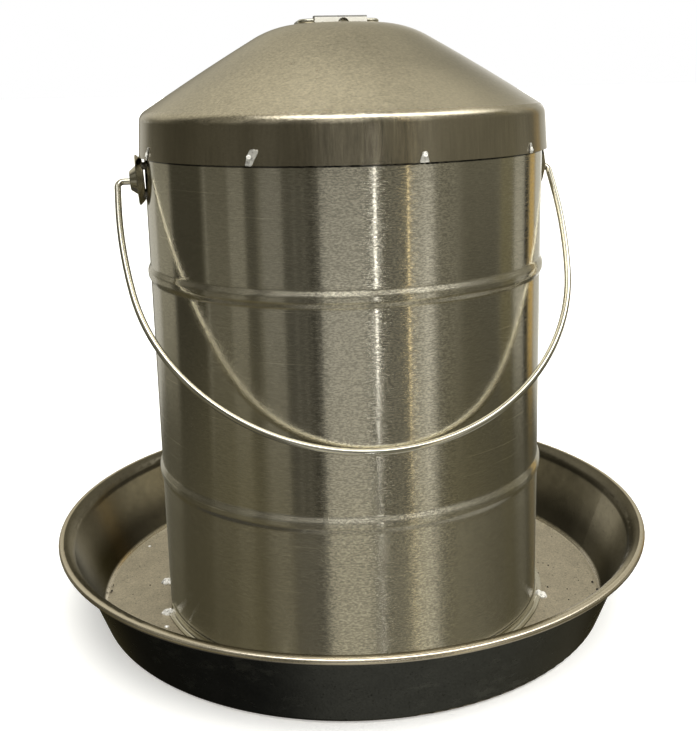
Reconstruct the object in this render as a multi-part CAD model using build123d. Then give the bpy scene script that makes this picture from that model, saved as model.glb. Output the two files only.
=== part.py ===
from build123d import *
import os
from math import asin, atan2, cos, degrees, hypot, radians, sin

# Double-wall poultry fount of stainless sheet, in millimetres.
# The origin is the centre of the pan's underside, +Z is up, and the bail's ears lie on the X axis.
# A pan carries a fixed open tank. A shell with a welded cone lid drops over the tank, and its foot sits
# in a ring on the pan floor. Water leaves the tank by a sprung valve at -X, and the shell by a port below it.

# sheet and wire
pan_sheet = 0.8
shell_sheet = 0.8
lid_sheet = 0.8
tank_sheet = 0.8
bail_wire_diameter = 4.2
rim_wire_diameter = 2.2
rim_wire_slack = 0.15

# pan
trough_width = 43.0
pan_rim_reach = 25.45
pan_rim_height = 52.8
pan_corner_radius = 4.6
pan_flare_radius = 7.4
pan_flare_inset = 5.55
curl_turn = 270

# shell
shell_radius = 127.0
shell_top = 322.5
bead_heights = (96.7, 228.5)
bead_width = 10.0
bead_crest = 3.4
bead_depth = 1.6
bead_bend_radius = 3.0
port_width = 24.0
port_height = 4.8
port_corner_radius = 3.8
seam_width = 3.0
seam_thickness = 0.35
seam_end_gap = 3.5

# ring that locates the shell's foot
foot_ring_clearance = 0.3
foot_ring_sheet = 1.0
foot_ring_height = 5.4
foot_ring_flange = 2.8
foot_ring_bend_radius = 1.5
foot_ring_notch_angle = 18.0
foot_ring_corner_radius = 2.0
foot_weld_count = 8
foot_weld_angle = 19.5
foot_weld_radius = 3.6
foot_weld_sink = 1.0

# lid
lid_cone_height = 53.3
lid_flat_corner_radius = 40.5
lid_top_bend_radius = 64.0
lid_crown = 0.9
lid_crown_span = 48.0
lid_shoulder_overhang = 1.5
lid_shoulder_rise = 4.8
lid_shoulder_bend_radius = 7.6
lid_skirt_overhang = 3.2
lid_skirt_drop = 20.9
skirt_weld_angles = (-73.3, -32.4, 9.4, 47.3, 104.0, 143.0, 186.0, 232.0)
skirt_weld_radius = 3.2
skirt_weld_sink = 1.0
skirt_weld_rise = 1.6
skirt_weld_lip = 0.4
lid_seal_height = 4.0
lid_seal_width = 3.5

# bail and its ears
bail_side_reach = 15.0
bail_depth = 194.2
bail_flank_draw = 4.0
bail_leg_length = 15.0
bail_bend_radius = 3.8
bail_wall_gap = 0.3
bail_head_radius = 3.5
bail_head_thickness = 1.6
bail_end_inset = 4.4
bail_side_shift = -2.1
ear_sheet = 1.0
ear_drop = 14.4
ear_rise = 1.0
ear_lean = 3.2
ear_gap = 0.05
ear_rim_radius = 15.8
ear_valley_radius = 12.0
ear_flat_radius = 5.6
ear_height = 8.8
ear_bend_radius = 1.2
running_clearance = 0.08
ear_weld_radius = 1.8
ear_weld_count = 4

# ring on the lid
strap_length = 33.3
strap_width = 9.0
strap_height = 4.9
strap_sheet = 1.0
strap_bend_radius = 0.7
strap_notch_radius = 3.6
strap_notch_offset = 1.6
strap_weld_radius = 1.3
strap_weld_inset = 5.0
ring_wire_diameter = 3.0
ring_half_width = 24.8
ring_reach = 36.0
ring_near_bend = 6.0
ring_far_bend = 14.0
ring_seat_gap = 0.3
ring_tilt = 2.0
ring_joint_gap = 0.5

# inner tank
water_gap = 8.2
tank_head_gap = 60.5
tank_floor_flange = 5.0
tank_floor_bend = 1.6
tank_floor_gap = 0.05
tank_weld_count = 6
tank_weld_radius = 2.0
lift_margin = 5.0

# outlet valve
valve_height = 18.0
valve_gasket_thickness = 1.2
valve_flange_radius = 9.0
valve_flange_thickness = 1.4
valve_body_radius = 6.5
valve_hole_clearance = 0.1
valve_bore_radius = 4.2
valve_nut_flats = 17.0
valve_nut_thickness = 3.5
valve_seat_length = 1.5
valve_button_radius = 5.8
valve_button_thickness = 0.8
valve_shell_gap = 0.3
valve_wing_thickness = 1.4
valve_core_radius = 1.6
valve_travel = 2.9
valve_seat_gap = 0.1
valve_washer_radius = 6.6
valve_washer_thickness = 2.0
valve_clamp_flats = 7.0
valve_clamp_thickness = 2.4
valve_core_end = 0.6
spring_wire_diameter = 0.6
spring_radius = 5.25
spring_turns = 3

floor_top = pan_sheet
pan_foot_radius = shell_radius + trough_width
pan_rim_radius = pan_foot_radius + pan_rim_reach
foot_ring_radius = shell_radius + foot_ring_clearance
foot_ring_outer_radius = foot_ring_radius + foot_ring_sheet + foot_ring_flange
shell_inner_radius = shell_radius - shell_sheet
lid_shoulder_radius = shell_radius + lid_shoulder_overhang
lid_shoulder_height = shell_top + lid_shoulder_rise
lid_skirt_radius = shell_radius + lid_skirt_overhang
lid_skirt_height = shell_top - lid_skirt_drop
lid_top = lid_shoulder_height + lid_cone_height
ear_centre_height = lid_skirt_height - ear_drop
bail_height = ear_centre_height - ear_rise
bail_half_width = shell_radius + bail_side_reach
bail_bottom_radius = bail_half_width - bail_flank_draw
tank_radius = shell_inner_radius - water_gap
tank_inner_radius = tank_radius - tank_sheet
tank_top = shell_top - tank_head_gap
lift_travel = tank_top - floor_top + lift_margin


def spun(section):
    """A full turn of a section drawn in radius and height."""
    return revolve(Plane.XZ * section, Axis.Z)


def disc(radius, bottom, top):
    return Pos(0, 0, bottom) * Cylinder(radius, top - bottom, align=(Align.CENTER, Align.CENTER, Align.MIN))


def around(solid, angle):
    """Turns a solid made on the +X axis to an angle from the front (-Y), positive towards +X."""
    return Rot(0, 0, angle - 90) * solid


def group(solids):
    return Compound(children=list(solids))


def largest(shape):
    return shape.solids().sort_by(SortBy.VOLUME)[-1]


def along_valve(solid):
    """Lays a solid made on +Z along -X at the valve's height, so that its +Z is outward."""
    return Pos(0, 0, valve_height) * Rot(0, -90, 0) * solid


def outer_curl(radius, height, sheet):
    """Mid-line of a sheet edge rolled outward and down round its wire."""
    middle = rim_wire_diameter / 2 + rim_wire_slack + sheet / 2
    return CenterArc((radius, height), middle, 90, -curl_turn)


def rim_wire(radius, height):
    return spun(Pos(radius, height) * Circle(rim_wire_diameter / 2))


# ---- pan --------------------------------------------------------------------------------------------

def pan_section():
    top = pan_rim_height + rim_wire_diameter / 2 + rim_wire_slack + pan_sheet / 2
    lean = (pan_rim_radius - pan_flare_inset - pan_foot_radius) / top
    path = FilletPolyline(
        (0, pan_sheet / 2),
        (pan_foot_radius, pan_sheet / 2),
        (pan_foot_radius + lean * (top - pan_sheet / 2), top),
        (pan_rim_radius, top),
        radius=[pan_corner_radius, pan_flare_radius],
    )
    return trace(path + outer_curl(pan_rim_radius, pan_rim_height, pan_sheet), pan_sheet)


def make_pan():
    return spun(pan_section())


def make_foot_ring():
    """L-section ring, its leg round the shell's foot, cut open over the outlet port."""
    leg = foot_ring_radius + foot_ring_sheet / 2
    low = floor_top + foot_ring_sheet / 2
    path = FilletPolyline(
        (leg, floor_top + foot_ring_height),
        (leg, low),
        (foot_ring_outer_radius, low),
        radius=foot_ring_bend_radius,
    )
    section = Plane.XZ * trace(path, foot_ring_sheet)
    ring = Rot(0, 0, 180 + foot_ring_notch_angle / 2) * revolve(section, Axis.Z, 360 - foot_ring_notch_angle)
    uprights = ring.edges().filter_by(Axis.Z)
    corners = uprights.group_by(lambda edge: round(hypot(edge.center().X, edge.center().Y)))
    return fillet(corners[-1], foot_ring_corner_radius)


def make_foot_welds(ring):
    """Tacks on the ring's outer edge: one each side of the notch, and the rest evenly round between them."""
    step = (360 - foot_weld_angle) / (foot_weld_count - 1)
    ball = Pos(foot_ring_outer_radius, 0, floor_top - foot_weld_sink) * Sphere(foot_weld_radius)
    cap = ball - disc(shell_radius + pan_foot_radius, floor_top - 2 * foot_weld_radius, floor_top)
    tacks = [around(cap, -90 + foot_weld_angle / 2 + step * n) for n in range(foot_weld_count)]
    return group(largest(tack - ring) for tack in tacks)


# ---- inner tank -------------------------------------------------------------------------------------

def make_tank_wall():
    middle = tank_radius - tank_sheet / 2
    curl = rim_wire_diameter / 2 + rim_wire_slack + tank_sheet / 2
    path = Line((middle, floor_top), (middle, tank_top - curl)) + CenterArc(
        (middle + curl, tank_top - curl), curl, 180, -curl_turn
    )
    return spun(trace(path, tank_sheet)) - valve_hole()


def tank_rim_wire():
    curl = rim_wire_diameter / 2 + rim_wire_slack + tank_sheet / 2
    return rim_wire(tank_radius - tank_sheet / 2 + curl, tank_top - curl)


def make_tank_floor():
    edge = tank_inner_radius - tank_floor_gap - tank_sheet / 2
    low = floor_top + tank_sheet / 2
    path = FilletPolyline((0, low), (edge, low), (edge, low + tank_floor_flange), radius=tank_floor_bend)
    return spun(trace(path, tank_sheet))


def make_tank_welds():
    """Tacks that join the tank's wall to the pan floor."""
    ball = Pos(tank_radius, 0, floor_top) * Sphere(tank_weld_radius)
    corner = ball - disc(tank_radius, -tank_weld_radius, tank_top)
    tack = corner - disc(shell_radius, -tank_weld_radius, floor_top)
    return group(around(tack, 360 / tank_weld_count * n) for n in range(tank_weld_count))


# ---- outlet valve -----------------------------------------------------------------------------------

gasket_face = tank_radius + valve_gasket_thickness
inner_gasket_face = tank_inner_radius - valve_gasket_thickness
bush_outer_end = gasket_face + valve_flange_thickness
bush_inner_end = inner_gasket_face - valve_nut_thickness - valve_seat_length
button_outer_face = shell_inner_radius - valve_shell_gap
button_inner_face = button_outer_face - valve_button_thickness
washer_face = bush_inner_end - valve_travel - valve_seat_gap
clamp_face = washer_face - valve_washer_thickness


def valve_hole():
    return along_valve(disc(valve_body_radius + valve_hole_clearance, clamp_face, gasket_face))


def make_valve_bush():
    flange = disc(valve_flange_radius, gasket_face, bush_outer_end)
    body = disc(valve_body_radius, bush_inner_end, gasket_face)
    bore = disc(valve_bore_radius, bush_inner_end, bush_outer_end)
    return along_valve(flange + body - bore)


def make_outer_gasket():
    """Rubber ring, flat under the bush's flange and hollowed to the tank's outside."""
    ring = disc(valve_flange_radius, tank_inner_radius, gasket_face)
    return along_valve(ring) - valve_hole() - disc(tank_radius, 0, tank_top)


def make_inner_gasket():
    """Rubber ring, flat under the nut and rounded to the tank's inside."""
    ring = disc(valve_nut_flats / 2, inner_gasket_face, tank_radius)
    inside = disc(tank_inner_radius, 0, tank_top)
    return (along_valve(ring) & inside) - valve_hole()


def hexagon(flats, bottom, top, hole):
    outline = RegularPolygon(flats / 2, 6, major_radius=False)
    return Pos(0, 0, bottom) * extrude(outline - Circle(hole), top - bottom)


def make_valve_nut():
    low = inner_gasket_face - valve_nut_thickness
    return along_valve(hexagon(valve_nut_flats, low, inner_gasket_face, valve_body_radius))


def make_valve_stem():
    """Button, four wings that run in the bush's bore, and a core that carries the washer."""
    wing_radius = valve_bore_radius - running_clearance
    length = button_inner_face - washer_face
    wing = Rectangle(2 * wing_radius, valve_wing_thickness)
    cross = wing + Rot(0, 0, 90) * wing
    wings = Pos(0, 0, washer_face) * extrude(cross & Circle(wing_radius), length)
    button = disc(valve_button_radius, button_inner_face, button_outer_face)
    core = disc(valve_core_radius, clamp_face - valve_clamp_thickness - valve_core_end, washer_face)
    return along_valve(wings + button + core)


def make_valve_washer():
    return along_valve(
        disc(valve_washer_radius, clamp_face, washer_face) - disc(valve_core_radius, clamp_face, washer_face)
    )


def make_valve_clamp():
    low = clamp_face - valve_clamp_thickness
    return along_valve(hexagon(valve_clamp_flats, low, clamp_face, valve_core_radius))


def make_valve_spring():
    """Compression spring between the bush's flange and the button."""
    height = button_inner_face - bush_outer_end - spring_wire_diameter
    pitch = height / spring_turns
    print("spring gap between turns", round(pitch - spring_wire_diameter, 2))
    helix = Helix(pitch, height, spring_radius)
    end = Plane(origin=helix @ 0, z_dir=helix % 0)
    coil = sweep(end * Circle(spring_wire_diameter / 2), helix, is_frenet=True)
    return along_valve(Pos(0, 0, bush_outer_end + spring_wire_diameter / 2) * coil)


# ---- shell ------------------------------------------------------------------------------------------

def shell_path(bottom, top):
    """Mid-line of the wall with its two outward beads."""
    radius = shell_radius - shell_sheet / 2
    points = [(radius, bottom)]
    for height in bead_heights:
        points.append((radius, height - bead_width / 2))
        points.append((radius + bead_depth, height - bead_crest / 2))
        points.append((radius + bead_depth, height + bead_crest / 2))
        points.append((radius, height + bead_width / 2))
    points.append((radius, top))
    return FilletPolyline(*points, radius=bead_bend_radius)


def make_port():
    """Arched slot through the shell's foot."""
    arch = RectangleRounded(port_width, 2 * port_height, port_corner_radius)
    cutter = extrude(Plane.YZ * arch, -shell_radius - foot_ring_sheet)
    return Pos(0, 0, floor_top) * cutter


def make_shell_wall():
    return spun(trace(shell_path(floor_top, shell_top), shell_sheet)) - make_port()


def make_shell_seam():
    """Weld bead down the back of the wall, from above the foot ring to under the skirt."""
    path = shell_path(floor_top + foot_ring_height + seam_end_gap, lid_skirt_height - seam_end_gap)
    layers = trace(path, shell_sheet + 2 * seam_thickness) - trace(path, shell_sheet)
    section = layers.faces().sort_by(Axis.X)[-1]
    turn = degrees(seam_width / shell_radius)
    return Rot(0, 0, 90 - turn / 2) * revolve(Plane.XZ * section, Axis.Z, turn)


# ---- lid --------------------------------------------------------------------------------------------

def lid_path():
    """Mid-line from the axis over the flat top, the slightly crowned cone and the flared skirt."""
    half = lid_sheet / 2
    run = lid_shoulder_radius - lid_flat_corner_radius
    slope = hypot(run, lid_cone_height)
    crown = (
        (lid_flat_corner_radius + lid_shoulder_radius) / 2 + lid_crown * lid_cone_height / slope,
        (lid_top + lid_shoulder_height) / 2 - half + lid_crown * run / slope,
    )
    return FilletPolyline(
        (0, lid_top - half),
        (lid_flat_corner_radius, lid_top - half),
        crown,
        (lid_shoulder_radius - half, lid_shoulder_height - half / 2),
        (lid_skirt_radius - half, lid_skirt_height),
        radius=[lid_top_bend_radius, lid_crown_span * slope / (4 * lid_crown), lid_shoulder_bend_radius],
    )


def make_lid():
    return spun(trace(lid_path(), lid_sheet))


def make_lid_seal():
    """Sealant laid in the corner between the shell's top edge and the lid."""
    low = shell_top - lid_seal_height / 2
    middle = shell_radius - shell_sheet / 2
    block = Pos(middle, low) * Rectangle(
        shell_sheet + lid_seal_width, lid_shoulder_height - low, align=(Align.CENTER, Align.MIN)
    )
    wall = Pos(middle, shell_top) * Rectangle(shell_sheet, lid_seal_height)
    section = block - trace(lid_path(), lid_sheet) - wall
    return spun(section.faces().sort_by(Axis.Y)[0])


def make_skirt_welds(lid):
    """Tacks spread on the skirt's lower edge and in the gap between it and the wall, at uneven steps."""
    low = lid_skirt_height - skirt_weld_lip
    centre = Pos(lid_skirt_radius - skirt_weld_sink, 0, lid_skirt_height + skirt_weld_rise)
    ball = centre * Sphere(skirt_weld_radius)
    cap = ball - disc(lid_skirt_radius + skirt_weld_radius, low - skirt_weld_radius, low)
    inside = disc(shell_radius, low - skirt_weld_radius, shell_top)
    tack = largest(around(cap, 0) - inside - lid)
    return group(Rot(0, 0, angle) * tack for angle in skirt_weld_angles)


# ---- bail and ears ----------------------------------------------------------------------------------

def at_ear(solid):
    """Puts a solid made on +Z, with Z=0 on the wall, at the right ear, which leans out past the skirt."""
    foot = Pos(shell_radius + ear_gap, 0, ear_centre_height - ear_valley_radius)
    return foot * Rot(0, 90 + ear_lean, 0) * Pos(-ear_valley_radius, 0, 0) * solid


def make_ear():
    """Pressed ear: a hollow dome with the bail's hole, a valley that bears on the wall, and a rim flared
    enough to pass outside the lid's skirt."""
    half = ear_sheet / 2
    leaned = (ear_drop + ear_valley_radius) * sin(radians(ear_lean))
    slope = (lid_skirt_overhang + ear_sheet - leaned) / (ear_drop - ear_valley_radius)
    turn = atan2(slope, 1) + atan2(ear_height, ear_valley_radius - ear_flat_radius)
    valley = half + ear_bend_radius - ear_bend_radius / cos(turn / 2)
    path = FilletPolyline(
        (0, ear_height - half),
        (ear_flat_radius, ear_height - half),
        (ear_valley_radius, valley),
        (ear_rim_radius, valley + slope * (ear_rim_radius - ear_valley_radius)),
        radius=ear_bend_radius,
    )
    hole = Pos(0, 0, bail_height) * Rot(0, 90, 0) * disc(
        bail_wire_diameter / 2 + running_clearance, shell_radius, shell_radius + 2 * ear_height
    )
    return at_ear(spun(trace(path, ear_sheet))) - hole


def make_ear_welds(ear):
    """Weld nuggets that fill the narrow gap between the ear's valley and the round wall."""
    nugget = Pos(ear_valley_radius, 0, 0) * disc(ear_weld_radius, -ear_height, ear_sheet / 2)
    inside = disc(shell_radius, 0, shell_top)
    turns = [Rot(0, 0, 360 / ear_weld_count * (n + 0.5)) for n in range(ear_weld_count)]
    return group(largest(at_ear(turn * nugget) - inside - ear) for turn in turns)


def opposite(shape):
    return mirror(shape, Plane.YZ)


def bail_path():
    """The bail's line in the XZ plane, hanging from Z=0."""
    end = shell_radius + ear_height - bail_end_inset
    bottom = bail_depth - bail_bottom_radius
    drop = bottom - bail_leg_length
    taper = bail_half_width - bail_bottom_radius
    flank = (bail_half_width**2 + drop**2 - bail_bottom_radius**2) / (2 * taper)
    turn = degrees(atan2(drop, flank - bail_half_width))
    corner = bail_half_width - bail_bend_radius
    half = [
        Line((end, 0), (corner, 0)),
        CenterArc((corner, -bail_bend_radius), bail_bend_radius, 90, -90),
        Line((bail_half_width, -bail_bend_radius), (bail_half_width, -bail_leg_length)),
        CenterArc((bail_half_width - flank, -bail_leg_length), flank, 0, -turn),
    ]
    arc = CenterArc((0, -bottom), bail_bottom_radius, -turn, 2 * turn - 180)
    other = [mirror(piece, Plane.YZ) for piece in half]
    return Plane.XZ * Wire([edge for piece in [*half, arc, *other] for edge in piece.edges()])


def make_bail():
    """Round wire, resting on the shell's front and slid to one side, with a peened head in each ear."""
    path = bail_path()
    wire = sweep(Plane(origin=path @ 0, z_dir=path % 0) * Circle(bail_wire_diameter / 2), path)
    end = shell_radius + ear_height - bail_end_inset
    for side in (-1, 1):
        head = disc(bail_head_radius, end - bail_head_thickness, end)
        wire += Rot(0, 90 * side, 0) * head
    tilt = degrees(asin((shell_radius + bail_wall_gap + bail_wire_diameter / 2) / bail_depth))
    return Pos(bail_side_shift, 0, bail_height) * Rot(-tilt, 0, 0) * wire


# ---- ring on the lid --------------------------------------------------------------------------------

def make_strap():
    """Channel over the ring's straight side, with a drain notch in each wall."""
    half = strap_sheet / 2
    side = strap_width / 2 - half
    top = strap_height - half
    path = FilletPolyline((-side, 0), (-side, top), (side, top), (side, 0), radius=strap_bend_radius)
    channel = extrude(Plane.YZ * trace(path, strap_sheet), strap_length / 2, both=True)
    notch = Pos(strap_notch_offset, 0, 0) * Rot(90, 0, 0) * Cylinder(strap_notch_radius, strap_width)
    return Pos(0, 0, lid_top) * (channel - notch)


def make_strap_welds(strap, lid):
    """A tack near each corner of the strap."""
    out = strap_length / 2 - strap_weld_inset
    corners = [(x * out, y * strap_width / 2) for x in (-1, 1) for y in (-1, 1)]
    balls = [Pos(x, y, lid_top) * Sphere(strap_weld_radius) for x, y in corners]
    return group(largest(ball - strap - lid) for ball in balls)


def make_hang_ring():
    """Rectangular wire ring lying back on the lid, its butt joint hidden in the strap."""
    near, far = ring_near_bend, ring_far_bend
    joint = ring_joint_gap / 2
    path = FilletPolyline(
        (joint, 0),
        (ring_half_width, 0),
        (ring_half_width, ring_reach),
        (-ring_half_width, ring_reach),
        (-ring_half_width, 0),
        (-joint, 0),
        radius=[near, far, far, near],
    )
    wire = sweep(Plane(origin=path @ 0, z_dir=path % 0) * Circle(ring_wire_diameter / 2), path)
    return Pos(0, 0, lid_top + ring_seat_gap + ring_wire_diameter / 2) * Rot(-ring_tilt, 0, 0) * wire


# ---- assembly ---------------------------------------------------------------------------------------

pan = make_pan()
foot_ring = make_foot_ring()
tank_wall = make_tank_wall()
shell_wall = make_shell_wall()
lid = make_lid()
strap = make_strap()
ear = make_ear()
ear_welds = make_ear_welds(ear)

nodes = {
    "pan": pan,
    "pan_rim_wire": rim_wire(pan_rim_radius, pan_rim_height),
    "foot_ring": foot_ring,
    "foot_ring_welds": make_foot_welds(foot_ring),
    "tank_wall": tank_wall,
    "tank_rim_wire": tank_rim_wire(),
    "tank_floor": make_tank_floor(),
    "tank_foot_welds": make_tank_welds(),
    "valve_bush": make_valve_bush(),
    "valve_outer_gasket": make_outer_gasket(),
    "valve_inner_gasket": make_inner_gasket(),
    "valve_nut": make_valve_nut(),
    "valve_stem": make_valve_stem(),
    "valve_washer": make_valve_washer(),
    "valve_clamp_nut": make_valve_clamp(),
    "valve_spring": make_valve_spring(),
    "shell_wall": shell_wall,
    "shell_seam_weld": make_shell_seam(),
    "lid": lid,
    "lid_seal": make_lid_seal(),
    "skirt_welds": make_skirt_welds(lid),
    "ear_left": opposite(ear),
    "ear_right": ear,
    "ear_left_welds": opposite(ear_welds),
    "ear_right_welds": ear_welds,
    "bail_wire": make_bail(),
    "ring_strap": strap,
    "ring_strap_welds": make_strap_welds(strap, lid),
    "hang_ring": make_hang_ring(),
}

os.makedirs("parts", exist_ok=True)
for name, solid in nodes.items():
    export_step(solid, f"parts/{name}.step")

print("lift travel", lift_travel)
print("overall", group(nodes.values()).bounding_box().size)
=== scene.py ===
import random
from math import cos, radians, sin

import bmesh
import bpy
from mathutils import Matrix, Vector, noise


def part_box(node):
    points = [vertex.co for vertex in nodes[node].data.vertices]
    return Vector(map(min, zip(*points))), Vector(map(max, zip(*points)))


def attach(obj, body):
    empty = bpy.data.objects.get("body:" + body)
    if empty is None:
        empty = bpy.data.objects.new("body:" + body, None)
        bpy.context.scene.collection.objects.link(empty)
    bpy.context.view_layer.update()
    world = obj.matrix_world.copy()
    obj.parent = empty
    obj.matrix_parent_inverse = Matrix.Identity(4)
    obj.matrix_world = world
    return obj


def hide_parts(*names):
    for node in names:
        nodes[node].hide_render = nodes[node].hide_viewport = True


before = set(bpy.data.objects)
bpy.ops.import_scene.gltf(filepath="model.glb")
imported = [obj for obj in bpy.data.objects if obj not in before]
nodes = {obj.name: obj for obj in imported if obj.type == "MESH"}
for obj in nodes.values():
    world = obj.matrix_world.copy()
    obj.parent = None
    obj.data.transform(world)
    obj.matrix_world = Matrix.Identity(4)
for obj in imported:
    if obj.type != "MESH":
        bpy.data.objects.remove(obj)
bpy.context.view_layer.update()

MM = 0.001

# ---- camera -----------------------------------------------------------------------------------------

PHOTO_WIDTH, PHOTO_HEIGHT = 697, 731
FOCAL_PIXELS = 1041.5
CENTRE_PIXEL = (346.3, 302.6)
SENSOR = 36.0
CAMERA_AZIMUTH = radians(-10.0)
CAMERA_ELEVATION = radians(12.04)
CAMERA_ROLL = radians(-1.32)
CAMERA_DISTANCE = 0.6968
CAMERA_NEAR = 0.01
AIM = Vector((0, 0, 0.2))


def add_camera():
    """Stands where the photographer stood, a little left of the front and above the rim."""
    level = Vector((sin(CAMERA_AZIMUTH), -cos(CAMERA_AZIMUTH), 0))
    back = level * cos(CAMERA_ELEVATION) + Vector((0, 0, sin(CAMERA_ELEVATION)))
    side = Vector((-level.y, level.x, 0))
    up = back.cross(side)
    right = side * cos(CAMERA_ROLL) + up * sin(CAMERA_ROLL)
    top = up * cos(CAMERA_ROLL) - side * sin(CAMERA_ROLL)
    camera = bpy.data.objects.new("camera", bpy.data.cameras.new("camera"))
    turn = Matrix((right, top, back)).transposed().to_4x4()
    camera.matrix_world = Matrix.Translation(AIM + back * CAMERA_DISTANCE) @ turn
    camera.data.sensor_width = SENSOR
    camera.data.lens = FOCAL_PIXELS * SENSOR / PHOTO_HEIGHT
    camera.data.shift_x = (PHOTO_WIDTH / 2 - CENTRE_PIXEL[0]) / PHOTO_HEIGHT
    camera.data.shift_y = (CENTRE_PIXEL[1] - PHOTO_HEIGHT / 2) / PHOTO_HEIGHT
    camera.data.clip_start = CAMERA_NEAR
    bpy.context.scene.collection.objects.link(camera)
    bpy.context.scene.camera = camera


# ---- node helpers -----------------------------------------------------------------------------------

class Graph:
    """Short names for the nodes that the materials and the studio are made of."""

    def __init__(self, tree):
        self.tree = tree
        tree.nodes.clear()

    def node(self, kind, **values):
        made = self.tree.nodes.new(kind)
        for name, value in values.items():
            setattr(made, name, value)
        return made

    def feed(self, socket, value):
        if isinstance(value, bpy.types.NodeSocket):
            self.tree.links.new(value, socket)
        else:
            socket.default_value = value

    def math(self, operation, *values):
        made = self.node("ShaderNodeMath", operation=operation)
        for socket, value in zip(made.inputs, values):
            self.feed(socket, value)
        return made.outputs[0]

    def product(self, total, *factors):
        for factor in factors:
            total = self.math("MULTIPLY", total, factor)
        return total

    def vector(self, operation, a, b):
        made = self.node("ShaderNodeVectorMath", operation=operation)
        self.feed(made.inputs[0], a)
        self.feed(made.inputs[3 if operation == "SCALE" else 1], b)
        return made.outputs["Value" if operation == "DISTANCE" else "Vector"]

    def split(self, vector):
        made = self.node("ShaderNodeSeparateXYZ")
        self.feed(made.inputs[0], vector)
        return made.outputs

    def ease(self, value, start, end, low=0.0, high=1.0):
        """Goes smoothly from low at start to high at end, which may be the lesser of the two."""
        made = self.node("ShaderNodeMapRange", interpolation_type="SMOOTHSTEP")
        rows = (("Value", value), ("From Min", start), ("From Max", end), ("To Min", low), ("To Max", high))
        for name, given in rows:
            self.feed(made.inputs[name], given)
        return made.outputs["Result"]

    def near(self, value, middle, far, close, low=0.0, high=1.0):
        """High within close of middle, and low from far on."""
        away = self.math("ABSOLUTE", self.math("SUBTRACT", value, middle))
        return self.ease(away, far, close, low, high)

    def mix(self, factor, a, b):
        made = self.node("ShaderNodeMix", data_type="RGBA")
        self.feed(made.inputs["Factor"], factor)
        self.feed(made.inputs["A"], a)
        self.feed(made.inputs["B"], b)
        return made.outputs["Result"]

    def noise(self, vector, scale, detail=4.0, roughness=0.55):
        made = self.node("ShaderNodeTexNoise")
        self.feed(made.inputs["Vector"], vector)
        self.feed(made.inputs["Scale"], scale)
        self.feed(made.inputs["Detail"], detail)
        self.feed(made.inputs["Roughness"], roughness)
        return made.outputs["Fac"]

    def uneven(self, vector, scale, detail=4.0, roughness=0.55, squeeze=None):
        """Noise from -0.5 to 0.5. A squeeze over 1 presses its marks flat, and one under 1 draws them tall."""
        if squeeze is not None:
            vector = self.vector("MULTIPLY", vector, (1, 1, squeeze))
        return self.math("SUBTRACT", self.noise(vector, scale, detail, roughness), 0.5)


def rgba(colour):
    return (*colour, 1)


def grey(level, warmth=1.0):
    """A warm grey; warmth 0 is neutral."""
    return rgba((level, level * (1 - 0.05 * warmth), level * (1 - 0.24 * warmth)))


# ---- studio -----------------------------------------------------------------------------------------

# The room is a world shader that only light and reflections see: behind the fount the camera sees plain white. Its
# angles are in degrees: round from the camera's side, positive to its right, and up from level. A fade is a pair of
# angles, from nothing at the first to all at the second.
WHITE = (1.0, 1.0, 1.0, 1)
BLACK = grey(0.0, 0.0)

# Upright cards and flags round the fount: middle, half width, soft edge, brightness and warmth.
CARDS = (
    (-147, 11, 3.0, 0.52, 0.6),
    (-126, 10, 2.0, 0.32, 1.0),
    (-100, 14, 2.0, 0.05, 1.3),
    (-61, 6, 1.5, 0.29, 0.8),
    (-83.5, 0.5, 0.4, 0.30, 0.8),
    (-53, 3.5, 1.0, 0.08, 0.8),
    (-40, 7, 1.5, 0.28, 0.6),
    (-24, 10.5, 0.6, 0.09, 0.8),
    (-27.6, 1.0, 0.3, 0.15, 0.8),
    (-22.6, 1.0, 0.3, 0.14, 0.8),
    (-18.0, 0.8, 0.3, 0.055, 0.8),
    (-0.8, 12.7, 0.5, 0.48, 0.5),
    (13.3, 1.4, 0.5, 0.34, 0.5),
    (27.0, 5.0, 1.0, 0.20, 0.8),
    (41.0, 4.6, 0.8, 0.50, 0.6),
    (47.8, 3.4, 0.6, 0.72, 0.5),
    (60.0, 9.0, 5.0, 0.22, 0.9),
    (82, 14, 3.0, 0.12, 1.1),
    (104, 6, 2.0, 0.20, 1.9),
    (117.5, 6, 1.0, 0.46, 0.8),
    (126.6, 2.8, 0.4, 0.01, 1.0),
    (149, 8, 2.0, 0.55, 0.7),
    (169, 11, 3.0, 1.1, 0.3),
)
BETWEEN_CARDS = 0.17
GILT_CARD = (135.5, 4.2, 0.8)
GILT_LIGHT = (0.62, 0.70 * 0.62, 0.26 * 0.62, 1)

# The cards are brighter above LIFT_UP and duller in one band: its middle, and how far off it ends and is full.
LIFT_UP = (-13.0, -6.0)
LIFT = 1.10
DULL_BAND = (-22.5, 3.5, 1.5)
DULL = 0.15
WARM_DOWN = (-24.0, -28.0)
WARM_TINT = (1.06, 1.0, 0.79)

# Two thin lamps, the first with a dark foot: middle, and the half widths outside and inside the soft edge.
SLIT = (16.6, 0.85, 0.40)
SLIT_LIGHT = grey(6.0, 0.1)
SLIT_TOP = (14.0, 8.0)
SLIT_BOTTOM = (-17.0, -15.5)
SLIT_FOOT = (-17.0, -19.0)
SLIT_FOOT_SHARE = 0.9
GLINT = (35.3, 0.50, 0.25)
GLINT_LIGHT = (3.2, 2.6, 1.5, 1)
GLINT_BOTTOM = (-19.5, -17.5)

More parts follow.
